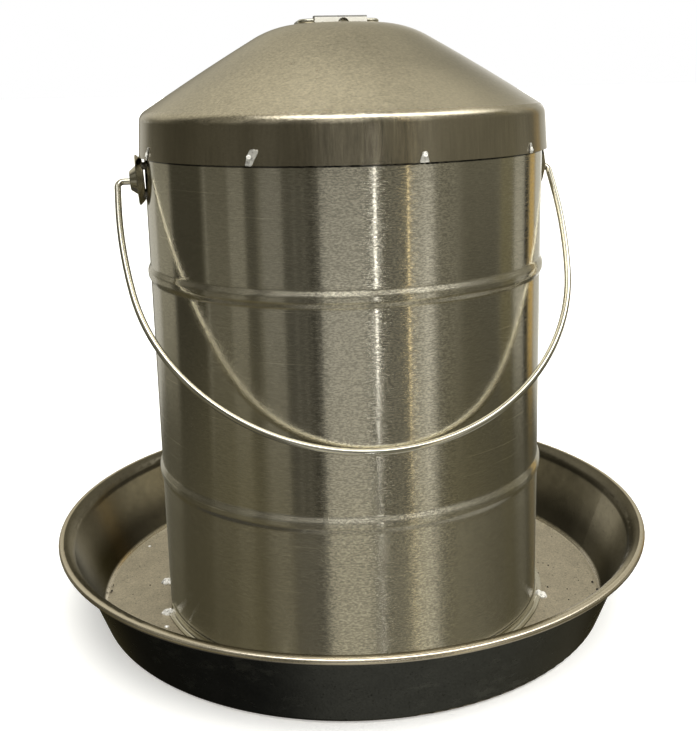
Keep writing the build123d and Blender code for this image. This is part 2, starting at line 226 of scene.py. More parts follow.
# Dark lower walls at the sides, weaker at the left of the front. They begin at TROUGH_TOP, and lower behind.
TROUGH_TOP, TROUGH_TOP_BEHIND, TROUGH_SOFT = -14.0, -2.0, 4.0
TROUGH_BEHIND = (140.0, 155.0)
TROUGH_SIDES = (50.0, 62.0)
TROUGH_LEFT = (-32.0, -38.0)
TROUGH_LEFT_SHARE = 0.7
TROUGH_DARKENS = (60.0, 120.0)
TROUGH_FRONT, TROUGH_BACK = grey(0.15, 1.7), grey(0.085, 1.5)

# A dark belt just above level, that the beads and the skirt reflect.
BELT_BOTTOM, BELT_TOP = (-6.0, 0.0), (20.0, 12.0)
BELT_ENDS = (152.0, 125.0)
BELT_TURN = (-5.0, 50.0)
BELT_LEFT, BELT_RIGHT = grey(0.090, 1.4), grey(0.22, 1.2)

# The ceiling: the cards again in front, and plain behind, where it also begins lower.
CEILING_BEHIND = (80.0, 130.0)
CEILING_START, CEILING_DROP, CEILING_SOFT = 28.0, -26.0, 26.0
CEILING_SHARE, CEILING_GLOW = 0.9, grey(0.06)[:3]
CEILING_TURN = (-0.5, 0.5)
CEILING_LEFT, CEILING_RIGHT = grey(0.62, 0.9), grey(0.50, 1.0)

# The lamp over the camera, that the lid's shoulder reflects. It hangs lower at the right.
LAMP_LEFT, LAMP_RIGHT = (-93.0, -13.0), (134.0, 60.0)
LAMP_TURN, LAMP_HEIGHTS = (20.0, 115.0), (62.0, 43.0)
LAMP_HALF = (12.0, 8.0)
LAMP_LIGHT = grey(4.2, 0.4)

# The table below, pale only in front and to the right.
TABLE_SIDES = (60.0, 90.0)
TABLE_START, TABLE_RISE, TABLE_SOFT = -48.0, 13.0, 9.0
TABLE_LEFT, TABLE_RIGHT = (-62.0, -20.0), (175.0, 145.0)
TABLE_DARK, TABLE_PALE = grey(0.06, 0.3), grey(0.38, 0.6)


def hang_cards(g, around):
    """The cards and the gilt strip, alike at every height."""
    walls = grey(BETWEEN_CARDS)
    for middle, half, soft, level, warmth in CARDS:
        card = g.near(around, float(middle), half + soft, half - soft)
        walls = g.mix(card, walls, grey(level, warmth))
    middle, half, soft = GILT_CARD
    return g.mix(g.near(around, middle, half + soft, half - soft), walls, GILT_LIGHT)


def light_walls(g, walls, around, height):
    """Cards by height, then the slit and the glint."""
    lift = g.math("SUBTRACT", g.ease(height, *LIFT_UP, 1.0, LIFT), g.near(height, *DULL_BAND, 0.0, DULL))
    walls = g.vector("SCALE", walls, lift)
    slit = g.near(around, *SLIT)
    walls = g.mix(g.product(slit, g.ease(height, *SLIT_FOOT, 0.0, SLIT_FOOT_SHARE)), walls, BLACK)
    walls = g.mix(g.product(slit, g.ease(height, *SLIT_TOP), g.ease(height, *SLIT_BOTTOM)), walls, SLIT_LIGHT)
    glint = g.product(g.near(around, *GLINT), g.ease(height, *GLINT_BOTTOM))
    return g.mix(glint, walls, GLINT_LIGHT)


def darken_walls(g, walls, around, aside, height):
    """The troughs low down, the warm tint under them and the belt above level."""
    top = g.math("MULTIPLY_ADD", g.ease(aside, *TROUGH_BEHIND), TROUGH_TOP_BEHIND, TROUGH_TOP)
    under = g.ease(height, top, g.math("SUBTRACT", top, TROUGH_SOFT))
    trough = g.mix(g.ease(aside, *TROUGH_DARKENS), TROUGH_FRONT, TROUGH_BACK)
    walls = g.mix(g.product(under, g.ease(aside, *TROUGH_SIDES)), walls, trough)
    walls = g.mix(g.product(under, g.ease(around, *TROUGH_LEFT), TROUGH_LEFT_SHARE), walls, trough)
    walls = g.mix(g.ease(height, *WARM_DOWN), walls, g.vector("MULTIPLY", walls, WARM_TINT))
    belt = g.product(g.ease(height, *BELT_BOTTOM), g.ease(height, *BELT_TOP), g.ease(aside, *BELT_ENDS))
    return g.mix(belt, walls, g.mix(g.ease(around, *BELT_TURN), BELT_LEFT, BELT_RIGHT))


def build_studio():
    """The room that the steel reflects."""
    world = bpy.data.worlds.new("studio")
    bpy.context.scene.world = world
    world.use_nodes = True
    g = Graph(world.node_tree)
    turned = g.node("ShaderNodeVectorRotate", rotation_type="Z_AXIS")
    g.feed(turned.inputs["Vector"], g.node("ShaderNodeTexCoord").outputs["Generated"])
    g.feed(turned.inputs["Angle"], -CAMERA_AZIMUTH)
    x, y, z = g.split(turned.outputs[0])
    around = g.math("DEGREES", g.math("ARCTAN2", x, g.math("MULTIPLY", y, -1.0)))
    aside = g.math("ABSOLUTE", around)
    height = g.math("DEGREES", g.math("ARCSINE", z))

    cards = hang_cards(g, around)
    walls = light_walls(g, cards, around, height)
    walls = darken_walls(g, walls, around, aside, height)

    behind = g.ease(aside, *CEILING_BEHIND)
    front = g.vector("ADD", g.vector("SCALE", cards, CEILING_SHARE), CEILING_GLOW)
    ceiling = g.mix(behind, front, g.mix(g.ease(x, *CEILING_TURN), CEILING_LEFT, CEILING_RIGHT))
    start = g.math("MULTIPLY_ADD", behind, CEILING_DROP, CEILING_START)
    colour = g.mix(g.ease(height, start, g.math("ADD", start, CEILING_SOFT)), walls, ceiling)

    across = g.product(g.ease(around, *LAMP_LEFT), g.ease(around, *LAMP_RIGHT))
    up = g.near(height, g.ease(around, *LAMP_TURN, *LAMP_HEIGHTS), *LAMP_HALF)
    colour = g.mix(g.product(across, up), colour, LAMP_LIGHT)

    start = g.math("MULTIPLY_ADD", g.ease(aside, *TABLE_SIDES), TABLE_RISE, TABLE_START)
    pale = g.product(g.ease(around, *TABLE_LEFT), g.ease(around, *TABLE_RIGHT))
    below = g.ease(height, start, g.math("SUBTRACT", start, TABLE_SOFT))
    colour = g.mix(below, colour, g.mix(pale, TABLE_DARK, TABLE_PALE))

    seen = g.node("ShaderNodeBackground")
    g.feed(seen.inputs["Color"], WHITE)
    lit = g.node("ShaderNodeBackground")
    g.feed(lit.inputs["Color"], colour)
    choose = g.node("ShaderNodeMixShader")
    g.feed(choose.inputs[0], g.node("ShaderNodeLightPath").outputs["Is Camera Ray"])
    g.feed(choose.inputs[1], lit.outputs[0])
    g.feed(choose.inputs[2], seen.outputs[0])
    g.feed(g.node("ShaderNodeOutputWorld").inputs["Surface"], choose.outputs[0])


OVERHEAD_ENERGY = 3.0
OVERHEAD_SPREAD = radians(75)
OVERHEAD_TILT = (radians(14), radians(8), 0)


def add_overhead():
    """A very wide overhead lamp, so that the floor is evenly lit and the shadow is only a soft patch."""
    light = bpy.data.lights.new("overhead", "SUN")
    light.energy = OVERHEAD_ENERGY
    light.angle = OVERHEAD_SPREAD
    made = bpy.data.objects.new("overhead", light)
    made.rotation_euler = OVERHEAD_TILT
    made.visible_glossy = False
    bpy.context.scene.collection.objects.link(made)


FLOOR_REACH = 30.0
FLOOR_DROP = 0.0005
FLOOR_GLOW = 0.35


def add_floor():
    """A pale floor that glows a little, to stay near white beside the fount. Reflections don't see it."""
    mesh = bpy.data.meshes.new("floor")
    turns = ((-1, -1), (1, -1), (1, 1), (-1, 1))
    corners = [(x * FLOOR_REACH, y * FLOOR_REACH, -FLOOR_DROP) for x, y in turns]
    mesh.from_pydata(corners, [], [(0, 1, 2, 3)])
    floor = bpy.data.objects.new("floor", mesh)
    bpy.context.scene.collection.objects.link(floor)
    floor.visible_glossy = False
    material = bpy.data.materials.new("pale_floor")
    material.use_nodes = True
    g = Graph(material.node_tree)
    paint = g.node("ShaderNodeBsdfPrincipled")
    g.feed(paint.inputs["Base Color"], (0.86, 0.86, 0.85, 1))
    g.feed(paint.inputs["Roughness"], 0.8)
    g.feed(paint.inputs["Emission Color"], WHITE)
    g.feed(paint.inputs["Emission Strength"], FLOOR_GLOW)
    g.feed(g.node("ShaderNodeOutputMaterial").inputs["Surface"], paint.outputs[0])
    mesh.materials.append(material)


# ---- materials --------------------------------------------------------------------------------------

# Noise below takes a scale per metre, a detail and a roughness.
STEEL = (0.60, 0.57, 0.48)
LID_STEEL = (0.62, 0.565, 0.45)
PAN_STEEL = (0.63, 0.575, 0.48)
PAN_WALL_TINT = (0.62, 0.565, 0.44)
PAN_OUTSIDE = (0.60, 0.62, 0.58)


def surface(name, metallic=1.0, anisotropy=0.0):
    """A material with its grain, if any, running round the fount's axis."""
    material = bpy.data.materials.new(name)
    material.use_nodes = True
    g = Graph(material.node_tree)
    paint = g.node("ShaderNodeBsdfPrincipled")
    paint.inputs["Metallic"].default_value = metallic
    paint.inputs["Anisotropic"].default_value = anisotropy
    paint.inputs["Anisotropic Rotation"].default_value = 0.25
    if anisotropy:
        tangent = g.node("ShaderNodeTangent", direction_type="RADIAL", axis="Z")
        g.feed(paint.inputs["Tangent"], tangent.outputs[0])
    g.feed(g.node("ShaderNodeOutputMaterial").inputs["Surface"], paint.outputs[0])
    place = g.node("ShaderNodeTexCoord").outputs["Object"]
    return material, g, paint, place


def shaded(g, *layers):
    """One plus each layer's value times its strength."""
    total = 1.0
    for value, strength in layers:
        total = g.math("MULTIPLY_ADD", value, strength, total)
    return total


def relief(g, paint, height, distance):
    bump = g.node("ShaderNodeBump")
    bump.inputs["Strength"].default_value = 1.0
    bump.inputs["Distance"].default_value = distance
    g.feed(bump.inputs["Height"], height)
    g.feed(paint.inputs["Normal"], bump.outputs[0])


# Each set of scratches: its slant in degrees, and a shift that makes it differ.
SCRATCHES = ((24, 0.0), (-38, 3.1), (68, 7.7))
SCRATCH_STRETCH = (12, 12, 1100)
SCRATCH_LEVELS = (0.84, 0.88)


def scratches(g, place):
    """Sparse hairline scratches that cross the wall at a few slants."""
    lines = 0.0
    for slant, shift in SCRATCHES:
        turned = g.node("ShaderNodeMapping")
        g.feed(turned.inputs["Vector"], place)
        turned.inputs["Location"].default_value = (shift, shift, shift)
        turned.inputs["Rotation"].default_value = (0, radians(slant), radians(slant))
        turned.inputs["Scale"].default_value = SCRATCH_STRETCH
        line = g.ease(g.noise(turned.outputs[0], 1.0, 0.0), *SCRATCH_LEVELS)
        lines = g.math("MAXIMUM", lines, line)
    return lines


def rings(g, place, rows):
    """Adds up level bands round the axis: bottom, top, soft edge and amount of each."""
    height = g.split(place)[2]
    total = 0.0
    for bottom, top, soft, amount in rows:
        inside = g.product(g.ease(height, bottom - soft, bottom + soft), g.ease(height, top + soft, top - soft))
        total = g.math("MULTIPLY_ADD", inside, amount, total)
    return total


# Grooves are drawn out round the axis, and start and end at these levels of their noise.
GROOVE_STRETCH = (0.3, 0.3, 30)
GROOVE_LEVELS = (0.46, 0.60)
# Flecks are marks between two levels of noise. They are strong only at the wall's front: its middle and where it
# ends and is full, in radians from the front, and how strong they are beside it and there.
FLECK_STRETCH = (1, 1, 2.6)
FLECK_LEVELS = (0.38, 0.62)
FLECKS = (-0.01, 0.38, 0.29, 0.08, 0.40)


def brushed(name, colour, roughness, hair, smudge=0.15, rough_rings=(), painted_shadow_rings=()):
    """Sheet with its grain running round the axis: lands, steep hairline grooves, streaks, smudges and painted
    shadow rings.
    """
    material, g, paint, place = surface(name, anisotropy=1.0)
    grooves = g.ease(g.noise(g.vector("MULTIPLY", place, GROOVE_STRETCH), 110.0, 1.0), *GROOVE_LEVELS)
    streak = g.uneven(place, 260.0, 2.0, 0.6, squeeze=6)
    fleck = g.noise(g.vector("MULTIPLY", place, FLECK_STRETCH), 560.0, 2.0, 0.6)
    cloud = g.uneven(place, 16.0, 5.0, 0.6, squeeze=0.6)
    lines = scratches(g, place)
    x, y, _ = g.split(place)
    around = g.math("ARCTAN2", x, g.math("MULTIPLY", y, -1.0))
    fleck = g.product(g.ease(fleck, *FLECK_LEVELS, -0.5, 0.5), g.near(around, *FLECKS))
    # Painted shadow: level rings of darker colour, such as the line under the skirt's edge.
    shade = rings(g, place, painted_shadow_rings)
    factor = shaded(g, (streak, 0.5), (fleck, 1.0), (cloud, smudge), (lines, 0.35), (shade, 1.0))
    g.feed(paint.inputs["Base Color"], g.vector("SCALE", colour, factor))
    rough = g.math("ADD", rings(g, place, rough_rings), roughness)
    g.feed(paint.inputs["Roughness"], g.math("MULTIPLY_ADD", cloud, 0.05, rough))
    relief(g, paint, g.math("SUBTRACT", grooves, lines), hair)
    return material


# The lid's skirt as a ring: bottom, top and soft edge, and the same with the shoulder, which is smoother.
LID_SKIRT = (0.295, 0.3245, 0.0015)
LID_SMOOTH = (0.295, 0.3295, 0.0020)
LID_ROUGHNESS, LID_SMOOTHER = 0.31, -0.09
# Marks drawn down the skirt, hard only at its front: x of its middle, where that ends and is full, and how strong
# they are beside it and there.
LID_DRAWN = (-0.012, 0.040, 0.018, 0.25, 1.0)
# The mottled place at the left of the front, how far from it the mottle is weak and full, and how strong.
LID_MOTTLED = (-0.050, -0.105, 0.336)
LID_MOTTLE_FADE = (0.12, 0.03, 0.30, 1.0)
# Places with a painted highlight or painted shade, how much, and how far from them it ends and is full.
LID_PAINTED_LIGHT = (
    (LID_MOTTLED, 0.34),
    ((0.036, -0.112, 0.334), 0.14),
    ((-0.120, 0.02, 0.330), 0.05),
    ((0.085, -0.060, 0.345), -0.26),
    ((0.025, -0.055, 0.364), -0.14),
)
LID_PAINTED_LIGHT_FADE = (0.075, 0.010)
LID_PAINTED_LIGHT_ON_SKIRT = 0.35
# Heights between which the cone's painted shade changes, deeper towards the top, with the shades, and those where
# its dents begin.
LID_PAINTED_SHADE = (0.373, 0.335, -0.16, -0.11)
LID_DENTS_START = (0.3255, 0.3330)


def lid_sheet():
    """The lid: spun sheet with a softly mottled cone and a drawn, streaky skirt, with painted highlights and shade.
    """
    material, g, paint, place = surface("lid_steel", anisotropy=0.6)
    grain = g.uneven(place, 520.0, 2.0, 0.6, squeeze=2)
    dents = g.uneven(place, 210.0, 2.0, 0.6, squeeze=2.2)
    mottle = g.uneven(place, 135.0, 4.0, 0.65, squeeze=1.8)
    combed = g.uneven(place, 480.0, 3.0, 0.7, squeeze=0.03)
    broad = g.uneven(place, 13.0, 3.0)
    x, _, z = g.split(place)

    skirt = rings(g, place, ((*LID_SKIRT, 1.0),))
    cone = g.math("SUBTRACT", 1.0, skirt)
    combed = g.product(combed, skirt, g.near(x, *LID_DRAWN))
    mottled = g.ease(g.vector("DISTANCE", place, LID_MOTTLED), *LID_MOTTLE_FADE)
    grain = g.product(grain, g.math("MULTIPLY_ADD", cone, 0.75, 0.25), mottled)
    mottle = g.product(mottle, cone, mottled)
    # Painted highlights and painted shade in patches, weaker on the skirt.
    painted_light = 0.0
    for middle, amount in LID_PAINTED_LIGHT:
        close = g.ease(g.vector("DISTANCE", place, middle), *LID_PAINTED_LIGHT_FADE)
        painted_light = g.math("MULTIPLY_ADD", close, amount, painted_light)
    painted_light = g.product(painted_light, g.math("MULTIPLY_ADD", cone, 1 - LID_PAINTED_LIGHT_ON_SKIRT, LID_PAINTED_LIGHT_ON_SKIRT))
    # Painted shade, deeper towards the top of the cone.
    painted_top_shade = g.ease(z, *LID_PAINTED_SHADE)

    # The skirt's layer is painted shade that darkens the whole skirt.
    factor = shaded(
        g, (grain, 1.0), (mottle, 0.30), (broad, 0.4), (combed, 1.1), (skirt, -0.18), (painted_top_shade, 1.0), (painted_light, 1.0))
    g.feed(paint.inputs["Base Color"], g.vector("SCALE", LID_STEEL, factor))
    rough = g.math("ADD", rings(g, place, ((*LID_SMOOTH, LID_SMOOTHER),)), LID_ROUGHNESS)
    g.feed(paint.inputs["Roughness"], g.math("MULTIPLY_ADD", mottle, 0.20, rough))
    dents = g.product(dents, g.ease(z, *LID_DENTS_START))
    relief(g, paint, g.product(g.math("MULTIPLY_ADD", grain, 0.3, dents), mottled), 0.00030)
    return material


# The pan from its floor up: heights between which each part begins.
PAN_FILLET = (0.0014, 0.0024)
PAN_WALL = (0.0036, 0.0064)
PAN_WALL_LIGHTENS = (0.014, 0.040)
PAN_CREASE = (0.0455, 0.0475)
PAN_FLARE = (0.0486, 0.0498)
PAN_CURL_TOP = (0.0492, 0.0506)
PAN_SMOOTH = (0.0012, 0.0030)
# The rolled rim by distance from the axis. The outside by the same, less the wall's lean times the height.
PAN_CURL = (0.1936, 0.1948)
PAN_LEAN = 0.3655
PAN_OUTSIDE_SKIN = (0.1697, 0.1701)
PAN_OUTSIDE_TOP = (0.0512, 0.0500)
# The wall's painted shade by quarter: y from front to back, and x from left to right in front and at the back.
PAN_QUARTER_Y = (0.04, 0.13)
PAN_QUARTER_FRONT = (-0.08, 0.08, 0.38, 1.25)
PAN_QUARTER_BACK = (-0.05, 0.05, 1.75, 1.15)
# The flare's painted shade, by y.
PAN_FLARE_PAINTED_SHADE = (-0.15, -0.09, 0.85, 0.26)
PAN_SPECULAR = (0.50, 0.48, 0.43, 1)


def pan_sheet():
    """The pan: pitted and mottled inside, with painted highlights on the fillet and the curl's top, painted shade
    on the wall, crease, flare and under the curl, a yellower wall, and a scuffed outside blackened by painted
    shade.
    """
    material, g, paint, place = surface("pan_steel")
    paint.inputs["Specular Tint"].default_value = PAN_SPECULAR
    x, y, z = g.split(place)
    reach = g.math("SQRT", g.math("ADD", g.math("MULTIPLY", x, x), g.math("MULTIPLY", y, y)))
    outside = g.ease(g.math("MULTIPLY_ADD", z, -PAN_LEAN, reach), *PAN_OUTSIDE_SKIN)
    outside = g.product(outside, g.ease(z, *PAN_OUTSIDE_TOP))
    curl = g.ease(reach, *PAN_CURL)
    grain = g.uneven(place, 900.0, 2.0, 0.65)
    mottle = g.uneven(place, 90.0, 5.0, 0.7)
    broad = g.uneven(place, 14.0, 3.0)
    spots = g.ease(g.noise(place, 700.0, 1.0, 0.5), 0.68, 0.74)
    scuffs = g.ease(g.noise(g.vector("MULTIPLY", place, (1, 1, 2)), 34.0, 5.0, 0.75), 0.55, 0.75)

    # Painted highlight on the fillet.
    painted_light_and_scuffs = g.ease(z, *PAN_FILLET, 1.0, 1.15)
    # Painted shade on the wall, lighter higher up and by quarter.
    painted_light_and_scuffs = g.ease(z, *PAN_WALL, painted_light_and_scuffs, 0.13)
    painted_light_and_scuffs = g.ease(z, *PAN_WALL_LIGHTENS, painted_light_and_scuffs, 0.55)
    quarter = g.ease(y, *PAN_QUARTER_Y, g.ease(x, *PAN_QUARTER_FRONT), g.ease(x, *PAN_QUARTER_BACK))
    painted_light_and_scuffs = g.product(painted_light_and_scuffs, g.ease(z, *PAN_WALL, 1.0, quarter))
    # Painted shade in the crease.
    painted_light_and_scuffs = g.ease(z, *PAN_CREASE, painted_light_and_scuffs, 0.19)
    # Painted shade on the flare, by y.
    painted_light_and_scuffs = g.ease(z, *PAN_FLARE, painted_light_and_scuffs, g.ease(y, *PAN_FLARE_PAINTED_SHADE))
    # The curl: a painted highlight along its top and painted shade below.
    painted_light_and_scuffs = g.ease(curl, 0.0, 1.0, painted_light_and_scuffs, g.ease(z, *PAN_CURL_TOP, 0.55, 1.30))
    # Outside: painted shade blackens it, with real scuffs.
    painted_light_and_scuffs = g.ease(outside, 0.0, 1.0, painted_light_and_scuffs, g.math("MULTIPLY_ADD", scuffs, 0.10, 0.15))
    factor = shaded(g, (grain, 0.9), (mottle, 0.55), (broad, 0.35), (spots, -0.45))
    factor = g.ease(curl, 0.0, 1.0, factor, shaded(g, (grain, 0.25), (mottle, 0.15)))

    # The wall inside the curl is yellower.
    wall_tint = g.product(g.ease(z, *PAN_WALL), g.ease(reach, *reversed(PAN_CURL)))
    colour = g.mix(wall_tint, rgba(PAN_STEEL), rgba(PAN_WALL_TINT))
    colour = g.mix(outside, colour, rgba(PAN_OUTSIDE))
    g.feed(paint.inputs["Base Color"], g.vector("SCALE", colour, g.product(painted_light_and_scuffs, factor)))
    rough = g.ease(z, *PAN_SMOOTH, 0.52, 0.24)
    rough = g.math("MULTIPLY_ADD", g.product(outside, scuffs), 0.22, rough)
    g.feed(paint.inputs["Roughness"], g.math("MULTIPLY_ADD", mottle, 0.12, rough))
    relief(g, paint, g.math("SUBTRACT", grain, spots), 0.00004)
    return material


def drawn(name, colour, roughness):
    """Drawn wire and pressed fittings: bright, with light handling marks."""
    material, g, paint, place = surface(name)
    marks = g.uneven(place, 900.0, 2.0, 0.6)
    cloud = g.uneven(place, 60.0, 3.0)
    g.feed(paint.inputs["Base Color"], g.vector("SCALE", colour, shaded(g, (marks, 0.25), (cloud, 0.2))))
    g.feed(paint.inputs["Roughness"], g.math("MULTIPLY_ADD", cloud, 0.10, roughness))
    relief(g, paint, marks, 0.00001)
    return material


def plated():
    """The strap's pale plated sheet, with painted shade along its top edge."""
    material, g, paint, place = surface("plated", metallic=0.0)
    marks = g.uneven(place, 700.0, 3.0, 0.6)
    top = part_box("ring_strap")[1][2]
    # Painted shade along the top edge.
    edge = rings(g, place, ((top - 0.0010, top + 0.002, 0.0002, -0.85),))
    g.feed(paint.inputs["Base Color"], g.vector("SCALE", (1.0, 0.99, 0.93), shaded(g, (marks, 0.15), (edge, 1.0))))
    g.feed(paint.inputs["Roughness"], g.math("MULTIPLY_ADD", marks, 0.2, 0.36))
    relief(g, paint, marks, 0.00001)
    return material


def welded(name, colour, metallic, roughness):
    """Frosty, rippled lumps of melted steel."""
    material, g, paint, place = surface(name, metallic=metallic)
    lumps = g.noise(place, 620.0, 3.0, 0.6)
    clean = g.ease(g.noise(place, 330.0, 2.0), 0.36, 0.50)
    dark = [0.55 * c for c in colour]
    g.feed(paint.inputs["Base Color"], g.mix(clean, rgba(dark), rgba(colour)))
    g.feed(paint.inputs["Roughness"], g.math("MULTIPLY_ADD", lumps, 0.25, roughness))
    relief(g, paint, lumps, 0.0006)
    return material


def dull(name, colour, roughness, scale, shade, distance):
    """Soot, rubber and sealant: matt, with a fine uneven skin."""
    material, g, paint, place = surface(name, metallic=0.0)
    skin = g.uneven(place, scale, 4.0, 0.6)
    g.feed(paint.inputs["Base Color"], g.vector("SCALE", colour, shaded(g, (skin, shade))))
    g.feed(paint.inputs["Roughness"], g.math("MULTIPLY_ADD", skin, 0.2, roughness))
    relief(g, paint, skin, distance)
    return material


# ---- welds, spatter, grit and the scratch -----------------------------------------------------------

SHELL_RADIUS = 0.1270
SKIRT_RADIUS = 0.1302
SKIRT_BOTTOM = 0.3016
SKIRT_TOP_RADIUS = 0.1285
SKIRT_TOP = 0.3273
SKIN = 0.0004
FLOOR_TOP = 0.0008
FOOT_RING_EDGE = 0.1311
# The pan's corner: how far from the axis its flat floor ends, and the radius of the curve from there.
CORNER_EDGE = 0.1654
CORNER = 0.0042

# Outlines of the smeared tacks on the skirt, in mm round it (to the right) and up from its lower edge, and where
# the crater of each lies.
SMEARS = {
    "tall": (
        ((-3.2, 0), (-1, -0.1), (1, 0), (2.0, 2.5), (3.4, 4.7), (4.7, 7.0), (4.5, 9.0), (3.2, 8.3), (2.3, 9.2),
         (1.2, 8.6), (0.3, 9.0), (-1.2, 6.9), (-2.2, 4.8), (-2.6, 2.4)), (-0.7, 4.8)),
    "stout": (
        ((-2.8, 0), (0, -0.1), (3.0, 0), (2.7, 1.8), (2.1, 3.6), (2.4, 5.0), (1.4, 6.1), (0.2, 5.9), (-0.8, 5.4),
         (-1.5, 3.6), (-2.3, 1.8)), (0.6, 4.1)),
    "drop": (
        ((-2.4, 0), (0, -0.1), (1.9, 0), (1.7, 1.8), (0.7, 4.2), (-0.2, 6.2), (-0.9, 5.8), (-1.7, 3.4),
         (-2.3, 1.4)), (-0.4, 2.4)),
    "hooked": (
        ((-1.8, 0), (-0.5, -0.1), (0.8, 0), (1.6, 2.2), (2.6, 4.4), (3.8, 6.6), (3.6, 8.0), (2.6, 7.6), (1.2, 5.6),
         (0, 3.6), (-1.2, 1.8)), (0.9, 3.4)),
}
# The tacks round the skirt, in degrees from the front.
SKIRT_TACKS = (
    (-73.3, "hooked"), (-32.4, "tall"), (9.4, "stout"), (47.3, "drop"),
    (104.0, "stout"), (143.0, "tall"), (186.0, "drop"), (232.0, "hooked"),
)
SMEAR_POINTS, CRATER_POINTS, ROOT_POINTS = 44, 18, 16
# A smear from its edge in: share of its outline, and mm proud of the skirt.
SMEAR_ROWS = (
    (1.0, -0.25), (1.0, 0.10), (0.93, 0.38), (0.84, 0.34), (0.70, 0.16), (0.45, 0.12), (0.20, 0.16), (0.05, 0.18),
)
SMEAR_RIPPLE = 0.16
# Its crater: radius and mm proud. What is over CRATER_LIP leans round to one side.
CRATER_ROWS = ((1.35, -0.1), (1.3, 0.35), (1.1, 0.85), (0.8, 1.05), (0.55, 0.85), (0.42, 0.4), (0.1, 0.3))
CRATER_WOBBLE, CRATER_LIP, CRATER_LEAN = 0.22, 0.5, 0.3
# The root that fills the gap between skirt and wall: share of its width and mm up.
ROOT_ROWS = ((0.5, 0.15), (1.0, 0.5), (1.0, 2.2), (0.6, 2.9))
ROOT_WIDTH, ROOT_THICKNESS, ROOT_DEPTH = 2.0, 1.25, 0.0016

# Tacks round the foot ring: degrees between the two beside its cut, and how many there are.
FOOT_TACK_GAP = 19.5
FOOT_TACKS = 8
# Each one's nuggets, on the pan's floor and on the ring: metres out and sideways, size, and first seed.
FOOT_NUGGETS = (
    (0.0008, 0.0, (0.0040, 0.0040, 0.0033), 11),
    (-0.0016, 0.0012, (0.0026, 0.0026, 0.0036), 41),
)
NUGGET_CUT = (0.72, 0.88)
NUGGET_ROUGHNESS = 0.10
# Spatter and grit on the pan's floor: x, y and radius in mm.
SPATTER = ((-130.4, -41.1, 1.3), (-141.9, 84.0, 0.9), (133.2, 66.0, 0.8), (-35.0, 146.0, 0.9), (98.0, 118.0, 0.7))
GRIT = (
    (-166.7, 23.7, 0.5), (-167.5, 15.6, 0.7), (-141.3, 20.1, 0.6), (-153.0, 9.1, 0.4), (135.0, -7.7, 0.4),
    (138.4, -8.8, 0.45), (140.9, -13.0, 0.65), (129.5, -22.5, 0.75), (128.5, -44.0, 0.75), (161.1, -44.1, 0.8),
    (158.7, -58.1, 0.95), (152.8, -39.4, 0.45), (140.5, -49.5, 0.5), (160.9, 31.4, 0.45), (135.8, -63.7, 0.55),
    (154.6, -59.8, 0.5), (-60.0, 140.0, 0.7), (22.0, 151.0, 0.6), (88.0, 121.0, 0.8), (-104.0, 106.0, 0.5),
    (45.0, 148.0, 0.5), (-149.0, 52.0, 0.45),
)

# The scratch: degrees from the front where it starts and how far round it runs, its bow, the height where it
# starts and its fall, and the burr: half its width, and its thickness as a share of its width.
SCRATCH_START, SCRATCH_RUN, SCRATCH_BOW = -29.3, 3.9, 0.9
SCRATCH_TOP, SCRATCH_FALL = 0.0478, 0.0165
BURR_HALF, BURR_FLATNESS, BURR_SIDES = 0.00017, 0.6, 6
SCRATCH_STEPS = 24


def outward(turn):
    """The level directions away from the axis, and round it to the right, at an angle from the front."""
    return Vector((sin(turn), -cos(turn), 0)), Vector((cos(turn), sin(turn), 0))


def on_skirt(angle, across, up, proud):
    """A point on the leaning skirt, all lengths in metres."""
    lean = (SKIRT_RADIUS - SKIRT_TOP_RADIUS) / (SKIRT_TOP - SKIRT_BOTTOM)
    reach = SKIRT_RADIUS + SKIN - lean * up + proud
    turn = radians(angle) + across / SKIRT_RADIUS
    return Vector((reach * sin(turn), -reach * cos(turn), SKIRT_BOTTOM + up))


def finish_piece(name, bm, body, materials, smooth=True):
    bmesh.ops.recalc_face_normals(bm, faces=bm.faces)
    mesh = bpy.data.meshes.new(name)
    bm.to_mesh(mesh)
    bm.free()
    mesh.polygons.foreach_set("use_smooth", [smooth] * len(mesh.polygons))
    for material in materials:
        mesh.materials.append(material)
    piece = bpy.data.objects.new(name, mesh)
    bpy.context.scene.collection.objects.link(piece)
    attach(piece, body)
    return piece


def closed_outline(points, count):
    """Evenly spaced points round a closed outline with its corners cut."""
    rounded = []
    for (x0, y0), (x1, y1) in zip(points, points[1:] + points[:1]):
        rounded += [(0.8 * x0 + 0.2 * x1, 0.8 * y0 + 0.2 * y1), (0.2 * x0 + 0.8 * x1, 0.2 * y0 + 0.8 * y1)]
    following = rounded[1:] + rounded[:1]
    steps = [((x0 - x1) ** 2 + (y0 - y1) ** 2) ** 0.5 for (x0, y0), (x1, y1) in zip(rounded, following)]
    made, index, passed = [], 0, 0.0
    for n in range(count):
        reach = sum(steps) * n / count
        while passed + steps[index] < reach:
            passed += steps[index]
            index += 1
        share = (reach - passed) / steps[index]
        (x0, y0), (x1, y1) = rounded[index], following[index]
        made.append((x0 + share * (x1 - x0), y0 + share * (y1 - y0)))
    return made


def add_rings(bm, rows, index=0):
    """Bridges rows of points, from the outermost row to the innermost, and closes both ends."""
    loops = [[bm.verts.new(point) for point in row] for row in rows]
    made = [bm.faces.new(loops[-1]), bm.faces.new(list(reversed(loops[0])))]
    for outer, inner in zip(loops, loops[1:]):
        for n in range(len(outer)):
            m = (n + 1) % len(outer)
            made.append(bm.faces.new((outer[n], outer[m], inner[m], inner[n])))
    for face in made:
        face.material_index = index


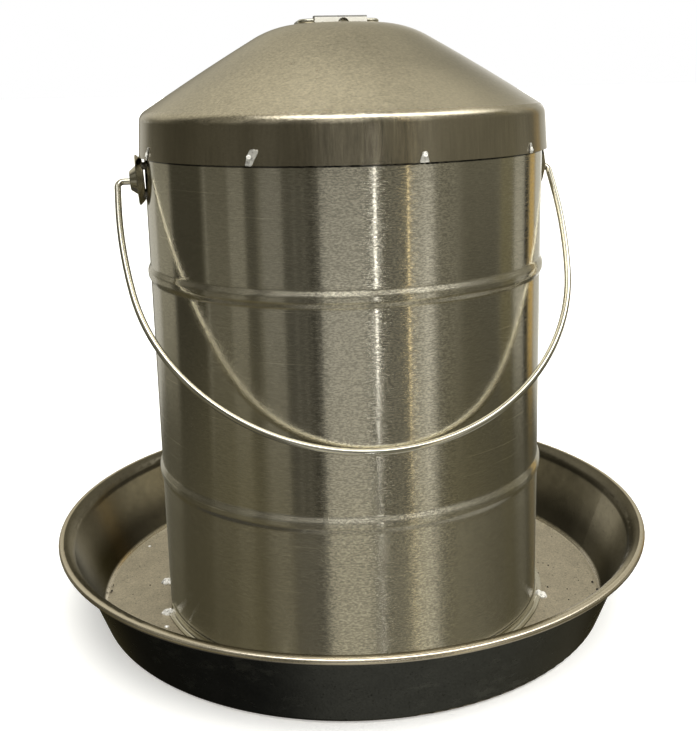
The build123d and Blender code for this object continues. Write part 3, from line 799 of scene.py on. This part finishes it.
def smear_rows(angle, outline):
    edge = closed_outline(outline, SMEAR_POINTS)
    middle = (sum(x for x, _ in edge) / len(edge), sum(y for _, y in edge) / len(edge))
    for share, proud in SMEAR_ROWS:
        row = []
        for x, y in edge:
            x, y = middle[0] + share * (x - middle[0]), middle[1] + share * (y - middle[1])
            ripple = SMEAR_RIPPLE * noise.noise(Vector((1.1 * x, 1.1 * y, angle))) * (proud > 0)
            row.append(on_skirt(angle, MM * x, MM * y, MM * (proud + ripple)))
        yield row


def crater_rows(angle, centre):
    for radius, proud in CRATER_ROWS:
        row = []
        for n in range(CRATER_POINTS):
            turn = radians(360 / CRATER_POINTS * n)
            wobble = 1 + CRATER_WOBBLE * noise.noise(Vector((cos(turn), sin(turn), 0.1 * angle)))
            high = proud * (1 + CRATER_LEAN * sin(turn + angle)) if proud > CRATER_LIP else proud
            across, up = centre[0] + radius * wobble * cos(turn), centre[1] + radius * wobble * sin(turn)
            row.append(on_skirt(angle, MM * across, MM * up, MM * high))
        yield row


def root_rows(angle):
    for share, up in ROOT_ROWS:
        row = []
        for n in range(ROOT_POINTS):
            turn = radians(360 / ROOT_POINTS * n)
            across, deep = ROOT_WIDTH * share * cos(turn), ROOT_THICKNESS * share * sin(turn)
            row.append(on_skirt(angle, MM * across, MM * up, -SKIN - ROOT_DEPTH + MM * deep))
        yield row


def make_skirt_smears(smear, nub):
    """The tacks under the lid's skirt: a frosty smear with a bright crater, and a root in the gap behind it."""
    bm = bmesh.new()
    for angle, kind in SKIRT_TACKS:
        outline, crater = SMEARS[kind]
        add_rings(bm, list(smear_rows(angle, outline)))
        add_rings(bm, list(crater_rows(angle, crater)), 1)
        add_rings(bm, list(root_rows(angle)))
    piece = finish_piece("skirt_tacks", bm, "shell", (smear, nub))
    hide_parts("skirt_welds")


def add_nugget(bm, centre, size, seed, cuts=11):
    """A faceted lump: a ball pressed flat on several sides."""
    draw = random.Random(seed)
    made = bmesh.ops.create_icosphere(bm, subdivisions=3, radius=1.0)["verts"]
    for _ in range(cuts):
        normal = Vector((draw.uniform(-1, 1), draw.uniform(-1, 1), draw.uniform(0, 1))).normalized()
        limit = draw.uniform(*NUGGET_CUT)
        for vert in made:
            beyond = vert.co.dot(normal) - limit
            if beyond > 0:
                vert.co -= normal * beyond
    for vert in made:
        vert.co *= 1 + NUGGET_ROUGHNESS * noise.noise(vert.co * 2.2 + Vector((seed, 0, 0)))
        vert.co = centre + Vector(vert.co[n] * size[n] for n in range(3))
        vert.co.z = max(vert.co.z, FLOOR_TOP - SKIN)


def make_foot_tacks(material):
    """Two nuggets at each tack, one on the pan's floor and one on the ring's flange, and the spatter."""
    bm = bmesh.new()
    step = (360 - FOOT_TACK_GAP) / (FOOT_TACKS - 1)
    for n in range(FOOT_TACKS):
        out, side = outward(radians(-90 + FOOT_TACK_GAP / 2 + step * n))
        base = out * FOOT_RING_EDGE + Vector((0, 0, FLOOR_TOP))
        for along, across, size, seed in FOOT_NUGGETS:
            add_nugget(bm, base + out * along + side * across, size, seed + n)
    for x, y, radius in SPATTER:
        radius *= MM
        add_nugget(bm, Vector((MM * x, MM * y, FLOOR_TOP)), (1.3 * radius, radius, radius), int(x + y), 4)
    piece = finish_piece("foot_tacks", bm, "base", (material,), smooth=False)
    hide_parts("foot_ring_welds")


def make_grit(material):
    """Loose grains on the pan's floor and on the curve at its corner."""
    bm = bmesh.new()
    for x, y, radius in GRIT:
        radius *= MM
        place = Vector((MM * x, MM * y, FLOOR_TOP))
        past = max(place.to_2d().length - CORNER_EDGE, 0.0)
        place.z += CORNER - (CORNER ** 2 - past ** 2) ** 0.5
        add_nugget(bm, place, (radius, 1.2 * radius, 0.8 * radius), int(x - y), 6)
    finish_piece("grit", bm, "base", (material,), smooth=False)


def make_scratch(material):
    """A raised burr along the one long scratch low on the shell."""
    bm = bmesh.new()
    rows = []
    for n in range(SCRATCH_STEPS + 1):
        share = n / SCRATCH_STEPS
        out, side = outward(radians(SCRATCH_START + SCRATCH_RUN * share - SCRATCH_BOW * sin(3.1 * share)))
        half = BURR_HALF * sin(radians(180 * min(max(share, 0.03), 0.97))) ** 0.5
        centre = out * (SHELL_RADIUS + SKIN) + Vector((0, 0, SCRATCH_TOP - SCRATCH_FALL * share))
        turns = [radians(360 // BURR_SIDES * k) for k in range(BURR_SIDES)]
        rows.append([centre + (out * cos(turn) * BURR_FLATNESS + side * sin(turn)) * half for turn in turns])
    add_rings(bm, rows)
    finish_piece("scratch_burr", bm, "shell", (material,))


# ---- the fount --------------------------------------------------------------------------------------

# Both beads and the wall's foot are rougher, and a painted shadow line lies under the skirt.
SHELL_ROUGH = (
    (0.0905, 0.1025, 0.0012, 0.09),
    (0.2225, 0.2345, 0.0012, 0.05),
    (-0.01, 0.0905, 0.004, 0.10),
)
SHELL_PAINTED_SHADOW = ((0.3003, 0.3015, 0.0002, -0.85),)

bright_steel = drawn("bright_steel", (0.66, 0.63, 0.54), 0.18)
weld_metal = welded("weld_metal", (0.60, 0.59, 0.55), 0.60, 0.26)
tack_metal = welded("tack_metal", (0.95, 0.94, 0.90), 0.35, 0.32)
soot = dull("soot", (0.025, 0.022, 0.018), 0.8, 2500.0, 0.6, 0.00005)

FINISHES = (
    (brushed("shell_steel", STEEL, 0.14, 0.000006, rough_rings=SHELL_ROUGH, painted_shadow_rings=SHELL_PAINTED_SHADOW),
     ("shell_wall",)),
    (brushed("tank_steel", STEEL, 0.22, 0.00001), ("tank_wall", "tank_floor")),
    (lid_sheet(), ("lid",)),
    (pan_sheet(), ("pan",)),
    (drawn("wire_steel", (0.72, 0.70, 0.62), 0.12),
     ("bail_wire", "hang_ring", "pan_rim_wire", "tank_rim_wire", "valve_spring")),
    (bright_steel, ("ear_left", "ear_right", "foot_ring")),
    (plated(), ("ring_strap",)),
    (weld_metal, [name for name in nodes if "weld" in name and "ear" not in name]),
    (welded("scorched", (0.12, 0.11, 0.09), 0.55, 0.30), ("ear_left_welds", "ear_right_welds")),
    (drawn("brass", (0.78, 0.60, 0.28), 0.26), ("valve_bush", "valve_nut", "valve_stem", "valve_clamp_nut")),
    (dull("rubber", (0.030, 0.030, 0.030), 0.62, 900.0, 0.5, 0.00003),
     ("valve_outer_gasket", "valve_inner_gasket", "valve_washer")),
    (dull("sealant", (0.35, 0.35, 0.33), 0.55, 300.0, 0.3, 0.0002), ("lid_seal",)),
)
for finish, names in FINISHES:
    for name in names:
        slots = nodes[name].data.materials
        for index in range(len(slots)):
            slots[index] = finish

make_skirt_smears(weld_metal, tack_metal)
make_foot_tacks(tack_metal)
make_grit(soot)
make_scratch(bright_steel)

# The shell's low reflections come from the studio's own troughs, so the pan keeps out of them.
nodes["pan"].visible_glossy = False

add_camera()
build_studio()
add_overhead()
add_floor()
bpy.context.scene.view_settings.view_transform = "Standard"
